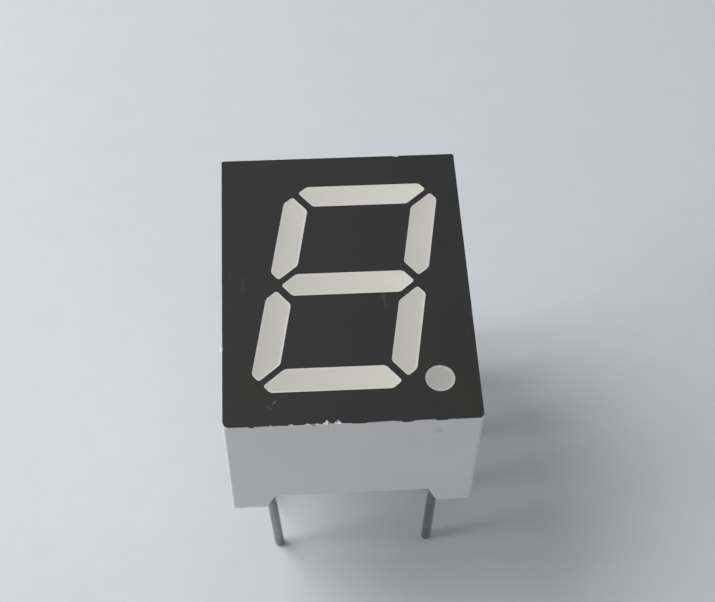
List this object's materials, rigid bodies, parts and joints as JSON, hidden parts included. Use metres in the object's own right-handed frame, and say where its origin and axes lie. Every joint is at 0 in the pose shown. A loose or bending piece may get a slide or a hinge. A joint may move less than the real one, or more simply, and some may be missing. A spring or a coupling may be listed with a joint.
{
  "type": "seven segment display",
  "caption": "Single-digit LED numeral display with slanted segments and a decimal point, a dark face on a white plastic body, and two columns of wire pins underneath.",
  "frame": {"origin": "middle of the pin grid on the seating plane, the underside of the feet", "axes": "+Z out of the face, +Y towards the top of the digit, +X to the reader's right; the pins point along -Z"},
  "size_m": [0.01, 0.013, 0.0138],
  "materials": {
    "white_housing": "fine moulded texture",
    "face_ink": "satin printed ink",
    "segment_resin": "milky casting resin, flush with the face",
    "dot_resin": "milky casting resin, greyer over the small well",
    "potting_resin": "poured resin",
    "board_laminate": "glass-epoxy laminate with copper tracks",
    "led_chip": "sawn semiconductor",
    "bond_metal": "drawn wire",
    "tinned_wire": "dull tin over steel wire"
  },
  "bodies": {
    "root": {"back_potting": "potting_resin", "bond_wire_a": "bond_metal", "bond_wire_b": "bond_metal", "bond_wire_c": "bond_metal", "bond_wire_d": "bond_metal", "bond_wire_dot": "bond_metal", "bond_wire_e": "bond_metal", "bond_wire_f": "bond_metal", "bond_wire_g": "bond_metal", "circuit_board": "board_laminate", "decimal_point": "dot_resin", "face_ink": "face_ink", "led_die_a": "led_chip", "led_die_b": "led_chip", "led_die_c": "led_chip", "led_die_d": "led_chip", "led_die_dot": "led_chip", "led_die_e": "led_chip", "led_die_f": "led_chip", "led_die_g": "led_chip", "pin_1": "tinned_wire", "pin_10": "tinned_wire", "pin_2": "tinned_wire", "pin_3": "tinned_wire", "pin_4": "tinned_wire", "pin_5": "tinned_wire", "pin_6": "tinned_wire", "pin_7": "tinned_wire", "pin_8": "tinned_wire", "pin_9": "tinned_wire", "reflector_housing": "white_housing", "segment_a": "segment_resin", "segment_b": "segment_resin", "segment_c": "segment_resin", "segment_d": "segment_resin", "segment_e": "segment_resin", "segment_f": "segment_resin", "segment_g": "segment_resin"}
  },
  "joints": []
}
